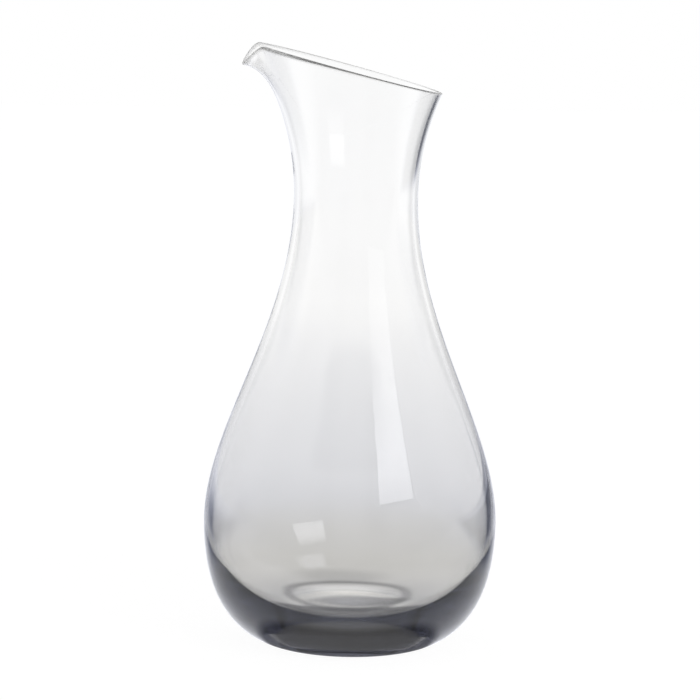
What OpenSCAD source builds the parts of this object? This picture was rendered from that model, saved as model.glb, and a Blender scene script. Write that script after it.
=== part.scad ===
// Water carafe, mouth-blown in two glasses: a clear body with a slanted rim and a pulled
// pouring lip, cased from the foot to the shoulder in smoked glass that thins out upwards.
// Millimetres, +Z up, foot ring on z = 0, axis at the origin, pouring lip towards -X.

/* [Belly and shoulder] */
// Outer radius at the widest place
belly_r = 60; // [52:0.5:70]
// Height of the widest place above the table
belly_z = 49.9; // [46:0.1:56]
// How far straight up the belly runs before the shoulder turns in
belly_reach = 38.5; // [30:0.5:55]
// Wall at the belly, both glasses together
belly_wall = 3.3; // [2.6:0.1:4.5]

/* [Foot and floor] */
// Outer radius of the ring that the carafe stands on
foot_r = 33; // [29:0.5:38]
// Width of the ground land on that ring
foot_land = 6.5; // [4:0.5:12]
// Hollow of the polished underside at its centre
punt_h = 0.8; // [0.4:0.1:1.5]
// Height at which the heel, run out level, would be as wide as the belly
heel_corner_z = 6.8; // [3:0.2:9]
// How far out the heel leaves the ground land before it turns up
heel_reach = 3.5; // [0:0.1:7]
// How far it has risen there
heel_lift = 0.9; // [0.4:0.1:2]
// Height of the floor of the cavity, without its rise
floor_z = 4.9; // [4.4:0.1:9]
// How far out level the floor of the cavity runs before it turns up
floor_reach = 34; // [20:1:38]
// How far straight down the cavity wall runs before the floor turns in
cavity_reach = 31; // [20:1:34]
// How far the floor rises in its middle
floor_rise = 5; // [1:0.5:6]
// Radius within which it rises
floor_rise_r = 30; // [20:1:34]
// Clear glass over the smoked glass in the floor, without the rise
floor_lining = 2.7; // [1:0.1:3.2]

/* [Neck and rim] */
// Outer radius at the waist of the neck
neck_r = 25.2; // [20:0.1:32]
// Height of that waist
neck_z = 183.9; // [175:0.1:195]
// How far straight down the neck runs before the shoulder turns out
neck_reach = 53; // [40:1:64]
// Wall at the waist
neck_wall = 1.9; // [1.5:0.1:2.6]
// Outer radius that the flared mouth reaches at flare_z
flare_r = 44.4; // [38:0.2:50]
// Height at which the flare is that wide
flare_z = 245.9; // [239:0.1:254]
// Height of the slanted rim over the axis
rim_z = 234.4; // [229:0.1:239]
// Slant of the rim, higher on the side of the lip
rim_tilt = 13.8; // [8:0.2:17]
// Wall at the rim
rim_wall = 1.4; // [1.2:0.1:2.4]

/* [Pouring lip] */
// How far the tip of the lip is pulled outwards
lip_pull = 3.25; // [1:0.25:7]
// How far the tip of the lip is pressed down
lip_drop = 8; // [3:0.2:9]
// Half of the angle that the lip takes out of the rim
lip_half_angle = 24; // [18:1:40]
// Height at which the lip starts to leave the round neck
lip_root_z = 216.9; // [207:0.1:218]

/* [Smoked casing] */
// Height at which the smoked glass ends
smoke_top_z = 136.9; // [110:0.1:149]
// Smoked glass at its upper edge
smoke_edge = 0.3; // [0.25:0.05:0.6]
// Smoked glass at the belly; the clear glass inside it is the rest of the wall
smoke_belly = 2.1; // [1.2:0.1:2.3]
// How far out level the inner face of the casing runs before it turns up
smoke_floor_reach = 41; // [33:1:43]
// How far straight down that face runs before it turns in
smoke_reach = 39; // [30:1:41]

/* [Smoothness] */
// Straight steps along each curve of the outline
curve_steps = 24; // [12:1:32]
// Meridians around the crown of the mouth
crown_sides = 80; // [48:4:96]
// Rings up each face of the crown
crown_rings = 12; // [8:1:14]

/* [Hidden] */
$fn = 96;

// The crown, which isn't round and so is a mesh, starts this far below the root of the lip
crown_start = 1.2;
crown_z = lip_root_z - crown_start;
// The crown is rooted this deep in the wall of the neck, and this far inside both of its faces
root_depth = 1;
root_inset = 0.3;
// Height above the neck's end at which the crown has come out to both faces
crown_lift = 0.3;
// The power with which the lip leaves the neck: a slow start and a quick end
lip_power = 3;
// Steps of the half-round fire-polished edge of the rim
edge_steps = 4;
// Meridians are drawn together towards the lip by this many degrees
lip_crowding = 28;
// Rounds in which the rim's height and the casing's edge are found on their curves
search_rounds = 24;

function bezier(p, t) =
    pow(1 - t, 3) * p[0] + 3 * pow(1 - t, 2) * t * p[1] + 3 * (1 - t) * t * t * p[2] + pow(t, 3) * p[3];

function bezier_way(p, t) =
    3 * pow(1 - t, 2) * (p[1] - p[0]) + 6 * (1 - t) * t * (p[2] - p[1]) + 3 * t * t * (p[3] - p[2]);

// Points of a curve from one parameter to another
function walk(p, t0 = 0, t1 = 1) =
    [for (i = [0 : curve_steps]) bezier(p, t0 + (t1 - t0) * i / curve_steps)];

function reversed(list) = [for (i = [len(list) - 1 : -1 : 0]) list[i]];

// A list without its last point, for where the next curve starts on that point
function open_end(list) = [for (i = [0 : len(list) - 2]) list[i]];

// Parameter at which a rising curve reaches a height, found by halving
function reach(p, z, lo = 0, hi = 1, rounds = search_rounds) =
    rounds <= 0 ? (lo + hi) / 2
    : bezier(p, (lo + hi) / 2)[1] > z ? reach(p, z, lo, (lo + hi) / 2, rounds - 1)
    : reach(p, z, (lo + hi) / 2, hi, rounds - 1);

// The outlines follow, each point [radius, height]
heel = [
    [foot_r, 0], [foot_r + heel_reach, heel_lift],
    [belly_r, heel_corner_z], [belly_r, belly_z]
];

shoulder = [
    [belly_r, belly_z], [belly_r, belly_z + belly_reach],
    [neck_r, neck_z - neck_reach], [neck_r, neck_z]
];

// A bowl from its floor on the axis up to the belly, by how far it runs level and upright
function bowl(floor_height, level, wide_r, upright) =
    [[0, floor_height], [level, floor_height], [wide_r, belly_z - upright], [wide_r, belly_z]];

// A point of the cavity's bowl, lifted by the rise of the floor
function risen(p) = [p[0], p[1] + floor_rise * pow(max(0, 1 - pow(p[0] / floor_rise_r, 2)), 2)];

cavity_bowl = bowl(floor_z, floor_reach, belly_r - belly_wall, cavity_reach);
casing_bowl = bowl(floor_z - floor_lining, smoke_floor_reach, belly_r - smoke_belly, smoke_reach);

// Both glasses together, by height
function wall_at(z) = lookup(z, [[belly_z, belly_wall], [neck_z, neck_wall], [flare_z, rim_wall]]);

// The smoked glass alone, by height
function smoke_at(z) = lookup(z, [[belly_z, smoke_belly], [smoke_top_z, smoke_edge]]);

// A point of the shoulder moved inwards, square to the surface
function under_shoulder(t, depth) =
    let (way = bezier_way(shoulder, t)) bezier(shoulder, t) - depth * [way[1], -way[0]] / norm(way);

casing_end = reach(shoulder, smoke_top_z);

// The face where the two glasses are fused, from the axis up to the casing's edge
fused_face = concat(
    open_end(walk(casing_bowl)),
    [for (i = [0 : curve_steps]) let (t = casing_end * i / curve_steps)
        under_shoulder(t, smoke_at(bezier(shoulder, t)[1]))]
);

// The flare of the mouth is a parabola that is upright at the waist
flare_gain = (flare_r - neck_r) / pow(flare_z - neck_z, 2);
function flare_at(z) = neck_r + flare_gain * pow(z - neck_z, 2);
function flare_slope(z) = 2 * flare_gain * (z - neck_z);
function flare_inside(z) = flare_at(z) - wall_at(z) * norm([1, flare_slope(z)]);

neck_heights = [for (i = [1 : curve_steps]) neck_z + (crown_z - neck_z) * i / curve_steps];

cavity = concat(
    [for (p = open_end(walk(cavity_bowl))) risen(p)],
    [for (i = [0 : curve_steps]) let (t = i / curve_steps)
        under_shoulder(t, wall_at(bezier(shoulder, t)[1]))],
    [for (z = neck_heights) [flare_inside(z), z]]
);

// The crown is the flared mouth with its slanted rim and its lip

// Angle from the lip of each meridian, closer together at the lip
function bearing(j) = let (even = 360 * j / crown_sides) even - lip_crowding * sin(even);

function from_lip(angle) = angle > 180 ? angle - 360 : angle;

// How much of the lip there is on a meridian: 1 at its middle, 0 past its ends
function lip_here(angle) =
    abs(from_lip(angle)) < lip_half_angle ? pow(cos(90 * from_lip(angle) / lip_half_angle), 2) : 0;

// Height at which a meridian of the round flare meets the slanted plane of the rim
function cut_height(angle, rounds = search_rounds) =
    rounds <= 0 ? rim_z
    : rim_z + tan(rim_tilt) * cos(angle) * flare_at(cut_height(angle, rounds - 1));

// How far up the lip a height lies, from 0 at its root to 1 at the rim
function up_the_lip(angle, z) = max(0, (z - lip_root_z) / (cut_height(angle) - lip_root_z));

// A point of the round flare after the lip has been pulled
function pulled(angle, r, z, z_surface) =
    let (share = lip_here(angle) * pow(min(1, up_the_lip(angle, z_surface)), lip_power))
    [r + lip_pull * share, z - lip_drop * share];

// Height on a meridian, from 0 where the crown has come out of the neck to 1 at its end
function crown_height(end, share) = crown_z + crown_lift + (end - crown_z - crown_lift) * share;

function outer_ring(angle, share) =
    let (z = crown_height(cut_height(angle), share)) pulled(angle, flare_at(z), z, z);

// The inner face ends higher than the outer one, so that the edge lies square to the wall
function inner_ring(angle, share) =
    let (cut = cut_height(angle), square = wall_at(cut) * sin(atan(flare_slope(cut))))
    let (z = crown_height(cut + square, share))
    pulled(angle, flare_inside(z), z, crown_height(cut, share));

// Half-round edge between the two faces
function edge_ring(angle, share) =
    let (a = outer_ring(angle, 1), b = inner_ring(angle, 1), middle = (a + b) / 2, half = (a - b) / 2)
    middle + half * cos(180 * share) + [-half[1], half[0]] * sin(180 * share);

root_z = crown_z - root_depth;

function meridian(angle) = concat(
    [[flare_at(root_z) - root_inset, root_z]],
    [for (i = [0 : crown_rings]) outer_ring(angle, i / crown_rings)],
    [for (i = [1 : edge_steps - 1]) edge_ring(angle, i / edge_steps)],
    [for (i = [crown_rings : -1 : 0]) inner_ring(angle, i / crown_rings)],
    [[flare_inside(root_z) + root_inset, root_z]]
);

module crown() {
    rings = len(meridian(0));
    points = [
        for (j = [0 : crown_sides - 1]) let (angle = bearing(j))
            for (p = meridian(angle)) [-p[0] * cos(angle), p[0] * sin(angle), p[1]]
    ];
    // Each four-sided patch is two triangles, and the last ring closes on the first
    faces = [
        for (j = [0 : crown_sides - 1], i = [0 : rings - 1])
            let (k = (j + 1) % crown_sides, n = (i + 1) % rings)
            let (a = j * rings + i, b = k * rings + i, c = k * rings + n, d = j * rings + n)
            each [[a, b, c], [a, c, d]]
    ];
    polyhedron(points, faces);
}

// Clear gather: lining of the bowl, upper wall, neck, slanted rim and pulled lip in one piece
module clear_glass_body() {
    color([0.93, 0.95, 0.95, 0.45]) {
        rotate_extrude()
            polygon(concat(
                fused_face,
                walk(shoulder, casing_end, 1),
                [for (z = neck_heights) [flare_at(z), z]],
                reversed(cavity)
            ));
        crown();
    }
}

// Smoked overlay: foot ring, hollow underside, heel and the casing that thins out upwards
module smoked_glass_casing() {
    land_r = foot_r - foot_land;
    underside = [
        for (i = [0 : curve_steps]) let (r = land_r * i / curve_steps)
            [r, punt_h * (1 - pow(r / land_r, 2))]
    ];
    color([0.38, 0.40, 0.42, 0.75])
        rotate_extrude()
            polygon(concat(
                underside,
                open_end(walk(heel)),
                walk(shoulder, 0, casing_end),
                reversed(fused_face)
            ));
}

clear_glass_body();
smoked_glass_casing();
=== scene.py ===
import math

import bmesh
import bpy
from mathutils import Matrix, Vector


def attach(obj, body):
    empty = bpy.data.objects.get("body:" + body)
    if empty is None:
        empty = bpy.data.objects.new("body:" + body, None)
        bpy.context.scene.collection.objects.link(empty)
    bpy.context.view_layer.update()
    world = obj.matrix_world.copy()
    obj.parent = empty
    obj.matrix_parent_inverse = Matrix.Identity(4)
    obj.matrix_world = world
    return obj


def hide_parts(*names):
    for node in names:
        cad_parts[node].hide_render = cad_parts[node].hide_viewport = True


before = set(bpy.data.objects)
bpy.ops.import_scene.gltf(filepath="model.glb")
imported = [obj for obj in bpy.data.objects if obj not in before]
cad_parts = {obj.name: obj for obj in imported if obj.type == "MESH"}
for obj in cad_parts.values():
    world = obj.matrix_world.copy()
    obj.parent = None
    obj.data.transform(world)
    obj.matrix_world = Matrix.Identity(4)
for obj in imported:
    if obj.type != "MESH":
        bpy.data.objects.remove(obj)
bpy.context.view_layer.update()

# Sizes of the carafe in millimetres, as in the part's source; only the slant of the rim is a little gentler

MM = 0.001
BELLY_R, BELLY_Z, BELLY_RUN, BELLY_WALL = 60, 49.9, 38.5, 3.3
FOOT_R, FOOT_LAND, PUNT_H = 33, 6.5, 0.8
HEEL_REACH, HEEL_LIFT, HEEL_CORNER_Z = 3.5, 0.9, 6.8
FLOOR_Z, FLOOR_REACH, CAVITY_RUN, FLOOR_RISE, FLOOR_RISE_R = 4.9, 34, 31, 5, 30
NECK_R, NECK_Z, NECK_RUN, NECK_WALL = 25.2, 183.9, 53, 1.9
FLARE_R, FLARE_Z = 44.4, 245.9
RIM_Z, RIM_TILT, RIM_WALL = 234.4, math.radians(13.4), 1.4
LIP_PULL, LIP_DROP, LIP_HALF_ANGLE = 3.25, 8, math.radians(24)
LIP_ROOT_Z, LIP_POWER = 216.9, 3
SMOKE_TOP_Z, SMOKE_BELLY = 136.9, 2.1
SMOKE_FLOOR_Z, SMOKE_FLOOR_REACH, SMOKE_RUN = 2.2, 41, 39

# The smoked glass feathers out to this, and thins by this power of the height left
SMOKE_TIP, SMOKE_POWER = 0.02, 0.8
# The two meshes stay this far apart at the fused face, so that no faces coincide
FUSED_GAP = 0.02

# The edge of the rim is this much of a half-round
EDGE_ROUND = 0.5

CURVE_STEPS, NECK_STEPS, CROWN_STEPS, EDGE_STEPS = 44, 16, 22, 10
SPIN_STEPS = 256

CROWN_Z = LIP_ROOT_Z - 1.2
FLARE_GAIN = (FLARE_R - NECK_R) / (FLARE_Z - NECK_Z) ** 2


# Curves of the outline, each point (radius, height) in millimetres

HEEL = [(FOOT_R, 0), (FOOT_R + HEEL_REACH, HEEL_LIFT), (BELLY_R, HEEL_CORNER_Z), (BELLY_R, BELLY_Z)]
SHOULDER = [
    (BELLY_R, BELLY_Z),
    (BELLY_R, BELLY_Z + BELLY_RUN),
    (NECK_R, NECK_Z - NECK_RUN),
    (NECK_R, NECK_Z),
]


def bowl(floor_z, level, wide_r, upright):
    """A bowl from its floor on the axis up to the belly, by how far it runs level and upright."""
    return [(0, floor_z), (level, floor_z), (wide_r, BELLY_Z - upright), (wide_r, BELLY_Z)]


def bezier(curve, t):
    a, b, c, d = (Vector(p) for p in curve)
    return (1 - t) ** 3 * a + 3 * (1 - t) ** 2 * t * b + 3 * (1 - t) * t * t * c + t**3 * d


def bezier_way(curve, t):
    a, b, c, d = (Vector(p) for p in curve)
    return 3 * (1 - t) ** 2 * (b - a) + 6 * (1 - t) * t * (c - b) + 3 * t * t * (d - c)


def shares(steps, start=0.0, end=1.0):
    return [start + (end - start) * i / steps for i in range(steps + 1)]


def walk(curve, start=0.0, end=1.0):
    return [bezier(curve, t) for t in shares(CURVE_STEPS, start, end)]


def risen(p):
    """A point of the cavity's bowl, lifted by the rise of the floor in its middle."""
    return Vector((p.x, p.y + FLOOR_RISE * max(0, 1 - (p.x / FLOOR_RISE_R) ** 2) ** 2))


def reach(curve, z):
    """Where a rising curve gets to a height, found by halving."""
    low, high = 0.0, 1.0
    for _ in range(32):
        middle = (low + high) / 2
        low, high = (low, middle) if bezier(curve, middle).y > z else (middle, high)
    return low


def between(z, z0, v0, z1, v1):
    share = min(1, max(0, (z - z0) / (z1 - z0)))
    return v0 + (v1 - v0) * share


def wall_at(z):
    if z < NECK_Z:
        return between(z, BELLY_Z, BELLY_WALL, NECK_Z, NECK_WALL)
    return between(z, NECK_Z, NECK_WALL, FLARE_Z, RIM_WALL)


def smoke_at(z):
    left = between(z, BELLY_Z, 1, SMOKE_TOP_Z, 0)
    return SMOKE_TIP + (SMOKE_BELLY - SMOKE_TIP) * left**SMOKE_POWER


def under_shoulder(t, depth):
    """A point of the shoulder moved inwards, square to the surface."""
    way = bezier_way(SHOULDER, t)
    return bezier(SHOULDER, t) - depth * Vector((way.y, -way.x)).normalized()


def flare_at(z):
    return NECK_R + FLARE_GAIN * (z - NECK_Z) ** 2


def flare_inside(z):
    slope = 2 * FLARE_GAIN * (z - NECK_Z)
    return flare_at(z) - wall_at(z) * math.hypot(1, slope)


CASING_END = reach(SHOULDER, SMOKE_TOP_Z)


def fused_face(gap):
    """The face where the glasses meet, from the axis to the feathered edge, moved inwards by a gap."""
    lower = walk(bowl(SMOKE_FLOOR_Z + gap, SMOKE_FLOOR_REACH, BELLY_R - SMOKE_BELLY - gap, SMOKE_RUN))[:-1]
    return lower + [
        under_shoulder(t, smoke_at(bezier(SHOULDER, t).y) + gap) for t in shares(CURVE_STEPS, 0, CASING_END)
    ]


def rim_edge(outer, inner):
    """The softly rounded fire-polished edge between the two faces of the wall."""
    middle, half = (outer + inner) / 2, (outer - inner) / 2
    up = Vector((-half.y, half.x)) * EDGE_ROUND
    turns = [math.pi * i / EDGE_STEPS for i in range(1, EDGE_STEPS)]
    return [middle + half * math.cos(turn) + up * math.sin(turn) for turn in turns]


def clear_outline():
    """The clear glass in section: fused face, bare shoulder, neck, rim and the cavity back to the axis."""
    neck = [NECK_Z + (CROWN_Z - NECK_Z) * s for s in shares(NECK_STEPS)[1:]]
    crown = [CROWN_Z + (RIM_Z - CROWN_Z) * s for s in shares(CROWN_STEPS)[1:]]
    slope = 2 * FLARE_GAIN * (RIM_Z - NECK_Z)
    lift = wall_at(RIM_Z) * slope / math.hypot(1, slope)
    high = [CROWN_Z + (RIM_Z + lift - CROWN_Z) * s for s in shares(CROWN_STEPS)[1:]]
    outside = [Vector((flare_at(z), z)) for z in neck + crown]
    inside = [Vector((flare_inside(z), z)) for z in neck + high]
    cavity = [risen(p) for p in walk(bowl(FLOOR_Z, FLOOR_REACH, BELLY_R - BELLY_WALL, CAVITY_RUN))[:-1]]
    cavity += [under_shoulder(t, wall_at(bezier(SHOULDER, t).y)) for t in shares(CURVE_STEPS)]
    return (
        fused_face(FUSED_GAP / 2)
        + walk(SHOULDER, CASING_END, 1)
        + outside
        + rim_edge(outside[-1], inside[-1])
        + inside[::-1]
        + cavity[::-1]
    )


def smoked_outline():
    """The smoked glass in section: underside, foot, heel, shoulder and the fused face back to the axis."""
    land_r = FOOT_R - FOOT_LAND
    underside = [Vector((land_r * s, PUNT_H * (1 - s * s))) for s in shares(CURVE_STEPS // 2)]
    return underside + walk(HEEL)[:-1] + walk(SHOULDER, 0, CASING_END) + fused_face(-FUSED_GAP / 2)[::-1]


def spun(name, outline):
    """Draws an outline by pulling one vertex along it, and spins it into a closed solid of glass."""
    bpy.ops.object.select_all(action="DESELECT")
    first = outline[0]
    bpy.ops.mesh.primitive_plane_add(size=MM, location=(-first.x * MM, 0, first.y * MM))
    piece = bpy.context.object
    piece.name = piece.data.name = name
    bpy.ops.object.transform_apply(location=True, rotation=True, scale=True)
    bpy.ops.object.mode_set(mode="EDIT")
    bpy.ops.mesh.select_all(action="SELECT")
    bpy.ops.mesh.merge(type="CENTER")
    for here, there in zip(outline, outline[1:]):
        step = (there - here) * MM
        bpy.ops.mesh.extrude_region_move(TRANSFORM_OT_translate={"value": (-step.x, 0, step.y)})
    bpy.ops.mesh.select_all(action="SELECT")
    bpy.ops.mesh.spin(steps=SPIN_STEPS, angle=math.tau, center=(0, 0, 0), axis=(0, 0, 1))
    bpy.ops.mesh.select_all(action="SELECT")
    bpy.ops.mesh.remove_doubles(threshold=MM / 1000)
    bpy.ops.mesh.normals_make_consistent(inside=False)
    bpy.ops.object.mode_set(mode="OBJECT")
    return piece


def cut_height(turn):
    """Height at which a meridian of the round flare meets the slanted plane of the rim."""
    z = RIM_Z
    for _ in range(24):
        z = RIM_Z + math.tan(RIM_TILT) * math.cos(turn) * flare_at(z)
    return z


def slant_and_pull(piece):
    """Stretches the crown of the mouth to the slanted rim, and pulls the lip out and down on the -X side."""
    bpy.ops.object.mode_set(mode="EDIT")
    mesh = bmesh.from_edit_mesh(piece.data)
    for vertex in mesh.verts:
        x, y, z = vertex.co / MM
        if z <= CROWN_Z:
            continue
        turn = math.atan2(y, -x)
        cut = cut_height(turn)
        slanted = CROWN_Z + (z - CROWN_Z) * (cut - CROWN_Z) / (RIM_Z - CROWN_Z)
        radius = math.hypot(x, y) + flare_at(slanted) - flare_at(z)
        along = min(1, max(0, (slanted - LIP_ROOT_Z) / (cut - LIP_ROOT_Z)))
        across = math.cos(math.pi / 2 * turn / LIP_HALF_ANGLE) ** 2 if abs(turn) < LIP_HALF_ANGLE else 0
        pull = across * along**LIP_POWER
        radius, height = radius + LIP_PULL * pull, slanted - LIP_DROP * pull
        vertex.co = Vector((-radius * math.cos(turn), radius * math.sin(turn), height)) * MM
    bmesh.update_edit_mesh(piece.data)
    bpy.ops.object.mode_set(mode="OBJECT")


def mark_rim(piece):
    """Marks the rounded edge of the rim, before it is slanted."""
    mark = piece.data.attributes.new("rim", "FLOAT", "POINT")
    for vertex in piece.data.vertices:
        mark.data[vertex.index].value = float(vertex.co.z > RIM_Z * MM)


def mark_fused_faces(piece, outwards):
    """Marks the faces where the two glasses are one, so that light goes straight through them."""
    heart = Vector((0, 0, BELLY_Z)) * MM
    mark = piece.data.attributes.new("fused", "FLOAT", "FACE")
    for face in piece.data.polygons:
        away = face.normal.dot(face.center - heart) > 0
        mark.data[face.index].value = float(away == outwards and face.center.z < SMOKE_TOP_Z * MM)


def finish_piece(piece, node_name, material):
    bpy.ops.object.select_all(action="DESELECT")
    piece.select_set(True)
    bpy.context.view_layer.objects.active = piece
    bpy.ops.object.shade_smooth_by_angle(angle=math.radians(50))
    piece.data.materials.clear()
    piece.data.materials.append(material)
    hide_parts(node_name)
    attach(piece, "root")


def linear(hex_colour):
    """An sRGB hex colour as the linear colour that Blender's sockets take."""
    channels = [int(hex_colour[i : i + 2], 16) / 255 for i in (1, 3, 5)]
    return [c / 12.92 if c <= 0.04045 else ((c + 0.055) / 1.055) ** 2.4 for c in channels] + [1]


def new_material(name):
    material = bpy.data.materials.new(name)
    material.use_nodes = True
    material.node_tree.nodes.clear()
    return material, material.node_tree


def add(tree, kind, inputs=None, **settings):
    """Adds a node with its settings; an input is given a value, or a socket to link."""
    node = tree.nodes.new(kind)
    for name, value in settings.items():
        setattr(node, name, value)
    for key, value in (inputs or {}).items():
        if isinstance(value, bpy.types.NodeSocket):
            tree.links.new(value, node.inputs[key])
        else:
            node.inputs[key].default_value = value
    return node


def fused_glass(name, ior, tint, depth, rim_roughness=0.0):
    """Blown glass that bends light at its free faces, passes it at the fused face, and tints it by depth."""
    material, tree = new_material(name)
    where = add(tree, "ShaderNodeTexCoord").outputs["Object"]
    waves = {"Vector": where, "Scale": 1 / WAVE_LENGTH, "Detail": 1.0, "Distortion": 0.6}
    swell = add(tree, "ShaderNodeTexNoise", waves)
    wavy = add(tree, "ShaderNodeBump", {"Strength": 1.0, "Distance": WAVE_HEIGHT, "Height": swell.outputs[0]})
    roughness = 0.0
    if rim_roughness:
        rim = add(tree, "ShaderNodeAttribute", attribute_name="rim").outputs["Fac"]
        roughness = add(tree, "ShaderNodeMath", {0: rim, 1: rim_roughness}, operation="MULTIPLY").outputs[0]
    look = {"Base Color": (1, 1, 1, 1), "Roughness": roughness, "IOR": ior, "Transmission Weight": 1.0}
    glass = add(tree, "ShaderNodeBsdfPrincipled", {**look, "Normal": wavy.outputs[0]})
    seam = add(tree, "ShaderNodeBsdfTransparent", {"Color": (1, 1, 1, 1)})
    fused = add(tree, "ShaderNodeAttribute", attribute_name="fused")
    faces = {0: fused.outputs["Fac"], 1: glass.outputs[0], 2: seam.outputs[0]}
    surface = add(tree, "ShaderNodeMixShader", faces)
    inside = add(tree, "ShaderNodeVolumeAbsorption", {"Color": tint, "Density": depth})
    add(tree, "ShaderNodeOutputMaterial", {"Surface": surface.outputs[0], "Volume": inside.outputs[0]})
    return material


# Blown glass swells a few hundredths of a millimetre over a couple of centimetres,
# which bends what shows through it
WAVE_LENGTH, WAVE_HEIGHT = 22 * MM, 0.05 * MM
# Soda-lime glass, blown and fire-polished: a faint grey that only deep edges show, and a finely uneven rim,
# which spreads the light that would be lost down the wall
clear_glass = fused_glass("soda_lime_glass", 1.5, (0, 0, 0, 1), 0.5, rim_roughness=0.6)
# Soda-lime glass smoked with nickel oxide: a cool grey, nearly black through the thick base
smoked_glass = fused_glass("smoked_soda_lime_glass", 1.5, (0.0, 0.02, 0.14, 1), 80.0)

# The carafe

clear_body = spun("clear_body", clear_outline())
mark_rim(clear_body)
slant_and_pull(clear_body)
mark_fused_faces(clear_body, True)
finish_piece(clear_body, "clear_glass_body", clear_glass)

smoked_casing = spun("smoked_casing", smoked_outline())
mark_fused_faces(smoked_casing, False)
finish_piece(smoked_casing, "smoked_glass_casing", smoked_glass)

# The camera, as far to the left of the front and as high as in the photo

CAMERA_FAR, CAMERA_HIGH, CAMERA_TURN = 1.435, 0.3239, math.radians(-5.5)
CAMERA_AIM = Vector((0, 0, 0.1208))
CAMERA_ROLL = math.radians(1.09)
LENS_PX, SENSOR, PICTURE = 3543.8, 36.0, 700
CAMERA_SHIFT_PX = 3.03


def place(turn, far, high):
    """A place around the carafe: turned from the front towards +X."""
    return Vector((math.sin(turn) * far, -math.cos(turn) * far, high))


def look_at(thing, target, roll=0.0):
    way = (target - thing.location).to_track_quat("-Z", "Y")
    thing.rotation_euler = (way.to_matrix() @ Matrix.Rotation(roll, 3, "Z")).to_euler()


bpy.ops.object.camera_add(location=place(CAMERA_TURN, CAMERA_FAR, CAMERA_HIGH))
camera = bpy.context.object
look_at(camera, CAMERA_AIM, CAMERA_ROLL)
camera.data.sensor_width = SENSOR
camera.data.lens = LENS_PX * SENSOR / PICTURE
camera.data.shift_x = -CAMERA_SHIFT_PX / PICTURE
bpy.context.scene.camera = camera

SWEEP_SIZE, SWEEP_GAP = 6, 0.0002
bpy.ops.mesh.primitive_plane_add(size=SWEEP_SIZE, location=(0, 0, -SWEEP_GAP))
sweep = bpy.context.object
sweep.name = "studio_sweep"

# The way to the light from the front, towards +X; how far off it stands, its lower and upper edge, its width
LIGHT_TURN = math.radians(33.5)
LIGHT_FAR, LIGHT_LOW, LIGHT_HIGH, LIGHT_WIDE = 1.25, 0.325, 1.25, 0.65
SILK_FAR, SILK_LOW, SILK_HIGH, SILK_WIDE = 0.11, 0.14, 0.52, 0.20


def upright_card(name, far, low, high, wide):
    """A card that stands on the way to the light and faces the carafe."""
    bpy.ops.mesh.primitive_plane_add(size=1, location=place(LIGHT_TURN, far, (low + high) / 2))
    card = bpy.context.object
    card.name = name
    card.rotation_euler = (math.radians(90), 0, LIGHT_TURN)
    card.scale = (wide, high - low, 1)
    bpy.ops.object.transform_apply(location=False, rotation=False, scale=True)
    return card


def sum_of(tree, *values):
    total = values[0]
    for value in values[1:]:
        total = add(tree, "ShaderNodeMath", {0: total, 1: value}, operation="ADD").outputs[0]
    return total


def product_of(tree, *values):
    total = values[0]
    for value in values[1:]:
        total = add(tree, "ShaderNodeMath", {0: total, 1: value}, operation="MULTIPLY").outputs[0]
    return total


def ramp(tree, value, start, end, low, high):
    """Goes smoothly from one level to another while a value goes from its start to its end."""
    ways = {0: value, 1: start, 2: end, 3: low, 4: high}
    return add(tree, "ShaderNodeMapRange", ways, interpolation_type="SMOOTHSTEP").outputs[0]


# How bright the studio is in front, against 1 behind the carafe, and how much its far sides are dimmed
FRONT_LEVEL = 0.68
STRIP_RIGHT, STRIP_LEFT = 0.30, 0.13
# Where the strips begin and end, by the sine of the angle aside
STRIP_BEGINS, STRIP_ENDS = (0.16, 0.27), (0.40, 0.58)
# What lights everything that shows no background
PLAIN_LEVEL = 0.55
# The table is a little above white to the camera, with this much of its real shadow
TABLE_LEVEL, SHADOW_SHARE = 1.06, 0.1
# The sweep's own white; the warm and the cool are painted hues of light that the table shows through the
# glass
SWEEP_WHITE, PAINTED_WARM, PAINTED_COOL = linear("#f4f4f4"), linear("#fffcf1"), linear("#e2e8ff")


def faced(tree, coordinates):
    """Coordinates turned to the camera, then how far across the picture and how far behind the carafe."""
    source = add(tree, "ShaderNodeTexCoord").outputs[coordinates]
    turned = add(tree, "ShaderNodeMapping", {"Vector": source, "Rotation": (0, 0, -CAMERA_TURN)}).outputs[0]
    axes = add(tree, "ShaderNodeSeparateXYZ", {0: turned})
    return turned, axes.outputs["X"], axes.outputs["Y"]


def oval(tree, turned, x, y, wide, deep):
    """How far a place on the table lies from the middle of an oval, 1 at its edge; sizes in millimetres."""
    moved = add(tree, "ShaderNodeVectorMath", {0: turned, 1: (x * MM, y * MM, 0)}, operation="SUBTRACT")
    sizes = (wide * MM, deep * MM, 1)
    scaled = add(tree, "ShaderNodeVectorMath", {0: moved.outputs[0], 1: sizes}, operation="DIVIDE")
    return add(tree, "ShaderNodeVectorMath", {0: scaled.outputs[0]}, operation="LENGTH").outputs["Value"]


def less(tree, value, share):
    return add(tree, "ShaderNodeMath", {0: value, 1: share}, operation="SUBTRACT").outputs[0]


def mirrored(tree, value):
    return add(tree, "ShaderNodeMath", {0: value, 1: -1.0}, operation="MULTIPLY").outputs[0]


def strip(tree, value, height):
    """A dim upright strip of the far studio, just out of the picture, by how far a direction turns aside."""
    rise = ramp(tree, value, *STRIP_BEGINS, 0, height)
    return product_of(tree, rise, ramp(tree, value, *STRIP_ENDS, 1, 0))


def side_level(tree, across):
    """How bright the far studio is: a dim strip on either side of the picture gives the glass its edges; the
    world lights these strips, and the table has them painted.
    """
    right, left = strip(tree, across, STRIP_RIGHT), strip(tree, mirrored(tree, across), STRIP_LEFT)
    return less(tree, 1.0, sum_of(tree, right, left))


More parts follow.
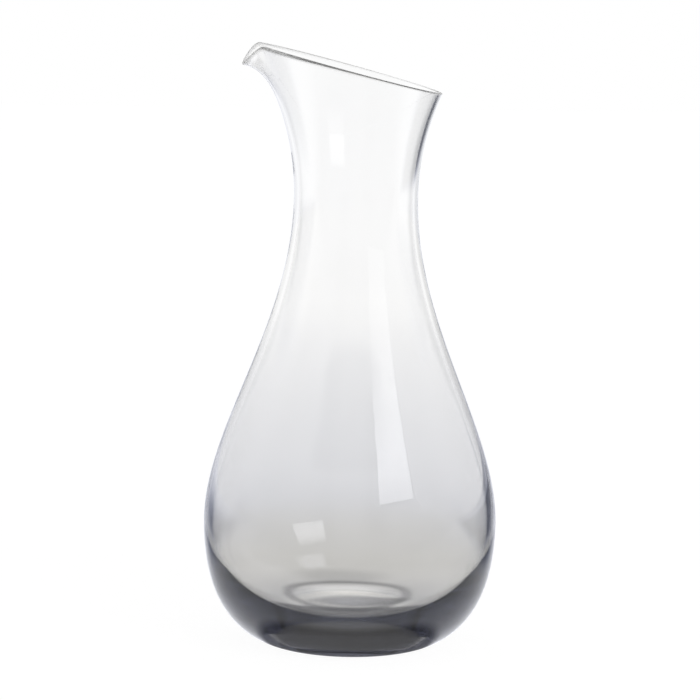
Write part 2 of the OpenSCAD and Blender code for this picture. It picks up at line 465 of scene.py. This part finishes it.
def shows_background(tree):
    """1 for rays that show a background: straight to the camera, mirrored, or through glass."""
    path = add(tree, "ShaderNodeLightPath")
    kinds = ("Is Camera Ray", "Is Glossy Ray", "Is Transmission Ray")
    seen = sum_of(tree, *(path.outputs[kind] for kind in kinds))
    return add(tree, "ShaderNodeMath", {0: seen, 1: 1.0}, operation="MINIMUM").outputs[0]


# Shade painted on the table, seen only through the glass and in what it mirrors: an oval's middle across and
# behind, its half width and half depth in millimetres, where its soft edge begins, and how dark it is
PAINTED_SHADES = [
    ((0, -2, 25, 18), 0.65, 0.40),
    ((8, 4, 27, 10), 0.5, 0.60),
    ((0, -32, 52, 29), 0.75, 0.85),
    ((-4, 62, 30, 24), 0.3, 0.22),
]
# The painted dark ring of shade behind the foot with its inner and outer edge, and the painted pool of light
# inside it, standing for what the bowl gathers
PAINTED_SHADE_RING, PAINTED_RING_DARKNESS = (-0.5, 19, 28, 30), 0.48
PAINTED_RING_INNER, PAINTED_RING_OUTER = (0.82, 0.98), (1.02, 1.22)
PAINTED_LIGHT_POOL, PAINTED_LIGHT_POOL_EDGE, PAINTED_LIGHT_POOL_LEVEL = (-1, 28, 24, 17), 0.3, 0.45

# Each is a start and an end in metres, and what a level is at either.
# By the distance from the axis: the painted shade close around the belly, the reach of the painted dark
# cards, the painted far studio, the painted brighter table that the heel mirrors and the painted warm light
PAINTED_SHADE_AROUND_BELLY = (0.055, 0.095, 0.94, 0.82)
PAINTED_SHADE_FARTHER_OUT = (0.10, 0.45, 0, 0.18)
PAINTED_CARD_LEFT = (0.25, 0.95, 0.70, 0)
PAINTED_CARD_RIGHT = (0.95, 1.40, 0.84, 0)
PAINTED_FAR_STUDIO = (0.9, 1.3, 0, 1)
PAINTED_GLARE = (0.15, 0.35, 0.5, 0)
PAINTED_WARMTH = (0.05, 0.35, 1, 0)
# By how far aside and how far behind the axis: the inner and the near edge of the painted dark cards, and the
# painted dim front
PAINTED_CARD_INNER = (0.080, 0.145, 0, 1)
PAINTED_CARD_NEAR = (0.03, 0.12, 0, 1)
LEFT_TO_RIGHT = (-0.02, 0.02, 0, 1)
PAINTED_DIM_FRONT = (-0.2, -0.03, FRONT_LEVEL, 1)
# How much farther apart the painted cards' inner edges get towards the back, and how cool the painted
# mirrored light is
PAINTED_CARD_SLANT, PAINTED_MIRRORED_COOL = 0.25, 0.5


def floor_material():
    """A white sweep with a faint real shadow; through the glass it shows painted shades, painted light and
    painted dark cards.
    """
    material, tree = new_material("white_sweep")
    turned, across, behind = faced(tree, "Object")
    apart = add(tree, "ShaderNodeVectorMath", {0: turned}, operation="LENGTH").outputs["Value"]
    aside = add(tree, "ShaderNodeMath", {0: across}, operation="ABSOLUTE").outputs[0]

    # Painted shade: the table is dimmest close around the belly, and shaded under the foot and in a ring
    # behind it
    around = sum_of(tree, ramp(tree, apart, *PAINTED_SHADE_AROUND_BELLY), ramp(tree, apart, *PAINTED_SHADE_FARTHER_OUT))
    ring = oval(tree, turned, *PAINTED_SHADE_RING)
    painted_ring_shade = product_of(
        tree, ramp(tree, ring, *PAINTED_RING_INNER, 0, PAINTED_RING_DARKNESS), ramp(tree, ring, *PAINTED_RING_OUTER, 1, 0)
    )
    dark = [ramp(tree, oval(tree, turned, *spot), edge, 1.0, depth, 0) for spot, edge, depth in PAINTED_SHADES]
    shade = product_of(tree, around, *(less(tree, 1.0, part) for part in [painted_ring_shade] + dark))
    painted_light_pool = ramp(tree, oval(tree, turned, *PAINTED_LIGHT_POOL), PAINTED_LIGHT_POOL_EDGE, 1.0, PAINTED_LIGHT_POOL_LEVEL, 0)
    # Dark cards painted on the table on either side, out of the picture, as shade that only the glass shows;
    # the right one reaches farther
    slanted = less(tree, aside, product_of(tree, behind, PAINTED_CARD_SLANT))
    card = product_of(tree, ramp(tree, slanted, *PAINTED_CARD_INNER), ramp(tree, behind, *PAINTED_CARD_NEAR))
    left, right = ramp(tree, apart, *PAINTED_CARD_LEFT), ramp(tree, apart, *PAINTED_CARD_RIGHT)
    sides = {"Factor": ramp(tree, across, *LEFT_TO_RIGHT), "A": left, "B": right}
    painted_cards = product_of(tree, card, add(tree, "ShaderNodeMix", sides).outputs[0])
    # Painted shade: through the glass the table is dimmer in front and, far off, in strips on either side
    front = ramp(tree, behind, *PAINTED_DIM_FRONT)
    heading = add(tree, "ShaderNodeMath", {0: across, 1: apart}, operation="DIVIDE").outputs[0]
    far_ways = {"Factor": ramp(tree, apart, *PAINTED_FAR_STUDIO), "A": 1.0, "B": side_level(tree, heading)}
    far = add(tree, "ShaderNodeMix", far_ways).outputs[0]
    path = add(tree, "ShaderNodeLightPath")
    seen_directly, mirrored_once = path.outputs["Is Camera Ray"], path.outputs["Is Reflection Ray"]
    # Painted reflection: the heel mirrors the table close by more brightly than the glass shows it
    painted_glare = sum_of(tree, 1.0, product_of(tree, mirrored_once, ramp(tree, apart, *PAINTED_GLARE)))
    # What the glass shows of the table is all painted light and shade; the camera sees the table evenly white
    painted_glass_level = product_of(
        tree, sum_of(tree, shade, painted_light_pool), less(tree, 1.0, painted_cards), front, far, painted_glare
    )
    level_ways = {"Factor": seen_directly, "A": painted_glass_level, "B": TABLE_LEVEL}
    level = add(tree, "ShaderNodeMix", level_ways).outputs[0]
    # Painted hues of light: through the glass the table close by is painted warm, and the painted cards and
    # what the glass mirrors are painted cool
    near_ways = {"Factor": ramp(tree, apart, *PAINTED_WARMTH), 6: (1, 1, 1, 1), 7: PAINTED_WARM}
    near = add(tree, "ShaderNodeMix", near_ways, data_type="RGBA").outputs[2]
    painted_coolness = sum_of(tree, painted_cards, product_of(tree, mirrored_once, PAINTED_MIRRORED_COOL))
    hue = add(tree, "ShaderNodeMix", {"Factor": painted_coolness, 6: near, 7: PAINTED_COOL}, data_type="RGBA").outputs[2]
    hue_ways = {"Factor": seen_directly, 6: hue, 7: (1, 1, 1, 1)}
    colour = add(tree, "ShaderNodeMix", hue_ways, data_type="RGBA").outputs[2]

    lit = add(tree, "ShaderNodeBsdfDiffuse", {"Color": SWEEP_WHITE})
    white = add(tree, "ShaderNodeEmission", {"Color": colour, "Strength": level})
    share = less(tree, shows_background(tree), product_of(tree, seen_directly, SHADOW_SHARE))
    both = add(tree, "ShaderNodeMixShader", {0: share, 1: lit.outputs[0], 2: white.outputs[0]})
    add(tree, "ShaderNodeOutputMaterial", {"Surface": both.outputs[0]})
    return material


sweep.data.materials.append(floor_material())

# The softbox's level at its lower edge, a third of the way up and near its top, and how strongly
# the walls inside and the outer face mirror it
LIGHT_BASE, LIGHT_PEAK, LIGHT_TOP = 2.3, 2.8, 0.05
WALLS_MIRROR, FACE_MIRRORS = 2.0, 0.1
# How far above the silk's lower edge its cover begins and ends to thicken, and how much it covers then
SILK_BEGINS, SILK_ENDS, SILK_COVER = 0.006, 0.038, 0.82


def height_on_card(tree):
    """How far above the middle of its card a place is."""
    where = add(tree, "ShaderNodeTexCoord").outputs["Object"]
    return add(tree, "ShaderNodeSeparateXYZ", {0: where}).outputs["Y"]


def light_material():
    """A softbox that is brightest a third of the way up and fades towards its top."""
    material, tree = new_material("softbox")
    height = height_on_card(tree)
    half = (LIGHT_HIGH - LIGHT_LOW) / 2
    low_end = ramp(tree, height, -half, -half / 3, LIGHT_BASE, LIGHT_PEAK)
    high_end = ramp(tree, height, -half / 3, half * 0.8, 1, LIGHT_TOP)
    # The walls inside mirror it at twice its level and the outer face barely, so that both its images show
    mirrored_once = add(tree, "ShaderNodeLightPath").outputs["Is Reflection Ray"]
    dimmed = product_of(tree, mirrored_once, WALLS_MIRROR - FACE_MIRRORS)
    level = product_of(tree, low_end, high_end, less(tree, WALLS_MIRROR, dimmed))
    shine = add(tree, "ShaderNodeEmission", {"Color": (1, 1, 1, 1), "Strength": level})
    add(tree, "ShaderNodeOutputMaterial", {"Surface": shine.outputs[0]})
    return material


# The tall soft light to the right of the camera, which the glass mirrors
tall_light = upright_card("tall_light", LIGHT_FAR, LIGHT_LOW, LIGHT_HIGH, LIGHT_WIDE)
tall_light.data.materials.append(light_material())


def silk_material():
    """Thin white cloth as bright as the front of the studio, which starts thinly at its lower edge."""
    material, tree = new_material("silk")
    height = height_on_card(tree)
    low = (SILK_LOW - SILK_HIGH) / 2
    cover = ramp(tree, height, low + SILK_BEGINS, low + SILK_ENDS, 0, SILK_COVER)
    open_weave = add(tree, "ShaderNodeBsdfTransparent", {"Color": (1, 1, 1, 1)})
    cloth = add(tree, "ShaderNodeEmission", {"Color": (1, 1, 1, 1), "Strength": FRONT_LEVEL})
    both = add(tree, "ShaderNodeMixShader", {0: cover, 1: open_weave.outputs[0], 2: cloth.outputs[0]})
    add(tree, "ShaderNodeOutputMaterial", {"Surface": both.outputs[0]})
    return material


# A small silk between the light and the neck dims the light that the shoulder, the neck and the mouth mirror
silk = upright_card("silk", SILK_FAR, SILK_LOW, SILK_HIGH, SILK_WIDE)
silk.visible_camera = silk.visible_diffuse = silk.visible_shadow = False
silk.data.materials.append(silk_material())


def studio_world():
    """White behind the carafe and dimmer to the sides, with a plain level of light for everything else."""
    world = bpy.data.worlds.new("white_studio")
    world.use_nodes = True
    tree = world.node_tree
    tree.nodes.clear()
    _, across, behind = faced(tree, "Generated")
    dim = product_of(tree, side_level(tree, across), ramp(tree, behind, -0.4, 0.1, FRONT_LEVEL, 1))
    plain = add(tree, "ShaderNodeBackground", {"Color": (1, 1, 1, 1), "Strength": PLAIN_LEVEL})
    white = add(tree, "ShaderNodeBackground", {"Color": (1, 1, 1, 1), "Strength": dim})
    ways = {0: shows_background(tree), 1: plain.outputs[0], 2: white.outputs[0]}
    level = add(tree, "ShaderNodeMixShader", ways)
    add(tree, "ShaderNodeOutputWorld", {"Surface": level.outputs[0]})
    return world


bpy.context.scene.world = studio_world()

scene = bpy.context.scene
scene.view_settings.view_transform = "Standard"
# Light crosses four walls and is mirrored inside them many times
scene.cycles.max_bounces = scene.cycles.transmission_bounces = scene.cycles.glossy_bounces = 128
scene.cycles.transparent_max_bounces = 64
